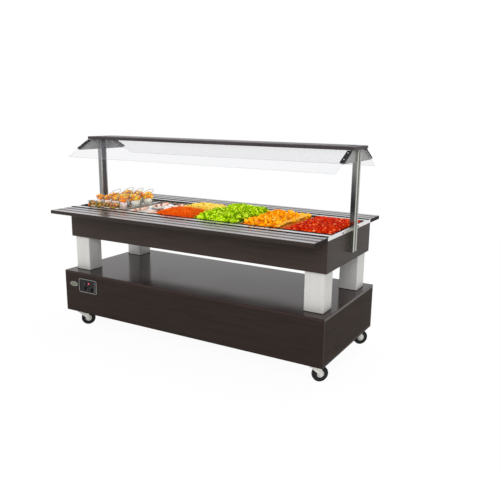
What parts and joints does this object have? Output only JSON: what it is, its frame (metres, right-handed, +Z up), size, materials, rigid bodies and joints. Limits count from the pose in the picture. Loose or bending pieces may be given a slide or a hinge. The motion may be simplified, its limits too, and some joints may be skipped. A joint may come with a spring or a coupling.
{
  "type": "food service trolley",
  "caption": "Refrigerated buffet trolley: laminate base on swivel castors, square pillars, steel-decked well of lift-out pans, folding slatted trays and a roof board with sloping glass panes.",
  "frame": {"origin": "on the floor, below the middle of the trolley", "axes": "+X along the trolley's length, with the control panel towards -X; -Y is the front with the control panel; +Z is up"},
  "size_m": [2.068, 1.086, 1.372],
  "materials": {
    "laminate": "satin",
    "steel": "satin",
    "hinge_steel": "satin",
    "post_aluminium": "satin",
    "bracket_paint": "satin",
    "clamp_black": "matte",
    "clear_glass": "gloss",
    "castor_zinc": "satin",
    "hub_grey": "matte",
    "tyre_black": "matte",
    "compressor_paint": "gloss",
    "coil_aluminium": "satin",
    "fan_plastic": "matte",
    "control_black": "satin",
    "rocker_black": "satin",
    "knob_black": "matte",
    "lamp_red": "gloss",
    "foam": "matte",
    "cup_food": "gloss",
    "plate_white": "gloss",
    "carrot_orange": "matte",
    "corn_yellow": "matte",
    "lettuce_green": "matte",
    "orange_fruit": "satin",
    "tomato_red": "satin"
  },
  "bodies": {
    "trolley": {"base_end_panels": "laminate", "base_floor_panel": "laminate", "base_front_panel": "laminate", "base_rear_panel": "laminate", "base_top_panel": "laminate", "canopy_brackets": "bracket_paint", "canopy_posts": "post_aluminium", "canopy_roof": "laminate", "castor_plates": "castor_zinc", "compressor": "compressor_paint", "condenser": "coil_aluminium", "control_plate": "control_black", "evaporator_coil": "coil_aluminium", "front_glass": "clear_glass", "glass_clamps": "clamp_black", "pan_support_bars": "steel", "pillars": "steel", "pilot_lamp": "lamp_red", "rear_glass": "clear_glass", "tray_hinges": "hinge_steel", "well_end_panels": "laminate", "well_floor_panel": "laminate", "well_front_panel": "laminate", "well_insulation": "foam", "well_rear_panel": "laminate", "well_tank": "steel"},
    "fork_front_left": {"castor_fork_front_left": "castor_zinc"},
    "wheel_front_left": {"castor_hub_front_left": "hub_grey", "castor_tyre_front_left": "tyre_black"},
    "fork_front_right": {"castor_fork_front_right": "castor_zinc"},
    "wheel_front_right": {"castor_hub_front_right": "hub_grey", "castor_tyre_front_right": "tyre_black"},
    "fork_rear_left": {"castor_fork_rear_left": "castor_zinc"},
    "wheel_rear_left": {"castor_hub_rear_left": "hub_grey", "castor_tyre_rear_left": "tyre_black"},
    "fork_rear_right": {"castor_fork_rear_right": "castor_zinc"},
    "wheel_rear_right": {"castor_hub_rear_right": "hub_grey", "castor_tyre_rear_right": "tyre_black"},
    "front_tray": {"front_tray_board": "laminate", "front_tray_rails": "steel"},
    "rear_tray": {"rear_tray_board": "laminate", "rear_tray_rails": "steel"},
    "rocker": {"power_rocker": "rocker_black"},
    "thermostat": {"thermostat_knob": "knob_black"},
    "light_switch": {"light_knob": "knob_black"},
    "fan": {"condenser_fan": "fan_plastic"},
    "cup_pan": {"cup_pan": "steel", "cups": "cup_food"},
    "skewer_pan": {"skewer_pan": "steel", "skewer_plates": "plate_white"},
    "carrot_pan": {"carrot_pan": "steel", "carrot_heap": "carrot_orange"},
    "corn_pan": {"corn_pan": "steel", "corn_heap": "corn_yellow"},
    "lettuce_pan": {"lettuce_pan": "steel", "lettuce_heap": "lettuce_green"},
    "orange_pan": {"orange_pan": "steel", "orange_heap": "orange_fruit"},
    "tomato_pan": {"tomato_pan": "steel", "tomato_heap": "tomato_red"}
  },
  "joints": [
    {"name": "swivel_front_left", "type": "hinge", "parent": "trolley", "child": "fork_front_left", "pos_m": [-0.937, -0.348, 0.106], "axis": [0, 0, 1], "continuous": true},
    {"name": "roll_front_left", "type": "hinge", "parent": "fork_front_left", "child": "wheel_front_left", "pos_m": [-0.91013, -0.32113, 0.05], "axis": [-0.7071, 0.7071, 0], "continuous": true},
    {"name": "swivel_front_right", "type": "hinge", "parent": "trolley", "child": "fork_front_right", "pos_m": [0.937, -0.348, 0.106], "axis": [0, 0, 1], "continuous": true},
    {"name": "roll_front_right", "type": "hinge", "parent": "fork_front_right", "child": "wheel_front_right", "pos_m": [0.96387, -0.32113, 0.05], "axis": [-0.7071, 0.7071, 0], "continuous": true},
    {"name": "swivel_rear_left", "type": "hinge", "parent": "trolley", "child": "fork_rear_left", "pos_m": [-0.937, 0.348, 0.106], "axis": [0, 0, 1], "continuous": true},
    {"name": "roll_rear_left", "type": "hinge", "parent": "fork_rear_left", "child": "wheel_rear_left", "pos_m": [-0.91013, 0.37487, 0.05], "axis": [-0.7071, 0.7071, 0], "continuous": true},
    {"name": "swivel_rear_right", "type": "hinge", "parent": "trolley", "child": "fork_rear_right", "pos_m": [0.937, 0.348, 0.106], "axis": [0, 0, 1], "continuous": true},
    {"name": "roll_rear_right", "type": "hinge", "parent": "fork_rear_right", "child": "wheel_rear_right", "pos_m": [0.96387, 0.37487, 0.05], "axis": [-0.7071, 0.7071, 0], "continuous": true},
    {"name": "front_tray_fold", "type": "hinge", "parent": "trolley", "child": "front_tray", "pos_m": [0, -0.367, 0.852], "axis": [1, 0, 0], "range_deg": [0, 90]},
    {"name": "rear_tray_fold", "type": "hinge", "parent": "trolley", "child": "rear_tray", "pos_m": [0, 0.367, 0.852], "axis": [-1, 0, 0], "range_deg": [0, 90]},
    {"name": "rocker_tilt", "type": "hinge", "parent": "trolley", "child": "rocker", "pos_m": [-0.8265, -0.4215, 0.347], "axis": [1, 0, 0], "range_deg": [0, 14]},
    {"name": "thermostat_turn", "type": "hinge", "parent": "trolley", "child": "thermostat", "pos_m": [-0.821, -0.423, 0.314], "axis": [0, 1, 0], "range_deg": [0, 300]},
    {"name": "light_switch_turn", "type": "hinge", "parent": "trolley", "child": "light_switch", "pos_m": [-0.761, -0.423, 0.31], "axis": [0, 1, 0], "range_deg": [0, 90]},
    {"name": "fan_spin", "type": "hinge", "parent": "trolley", "child": "fan", "pos_m": [-0.56, 0.293, 0.252], "axis": [0, 1, 0], "continuous": true},
    {"name": "cup_pan_lift", "type": "slide", "parent": "trolley", "child": "cup_pan", "axis": [0, 0, 1], "range_m": [0, 0.12]},
    {"name": "skewer_pan_lift", "type": "slide", "parent": "trolley", "child": "skewer_pan", "axis": [0, 0, 1], "range_m": [0, 0.12]},
    {"name": "carrot_pan_lift", "type": "slide", "parent": "trolley", "child": "carrot_pan", "axis": [0, 0, 1], "range_m": [0, 0.12]},
    {"name": "corn_pan_lift", "type": "slide", "parent": "trolley", "child": "corn_pan", "axis": [0, 0, 1], "range_m": [0, 0.12]},
    {"name": "lettuce_pan_lift", "type": "slide", "parent": "trolley", "child": "lettuce_pan", "axis": [0, 0, 1], "range_m": [0, 0.12]},
    {"name": "orange_pan_lift", "type": "slide", "parent": "trolley", "child": "orange_pan", "axis": [0, 0, 1], "range_m": [0, 0.12]},
    {"name": "tomato_pan_lift", "type": "slide", "parent": "trolley", "child": "tomato_pan", "axis": [0, 0, 1], "range_m": [0, 0.12]}
  ]
}
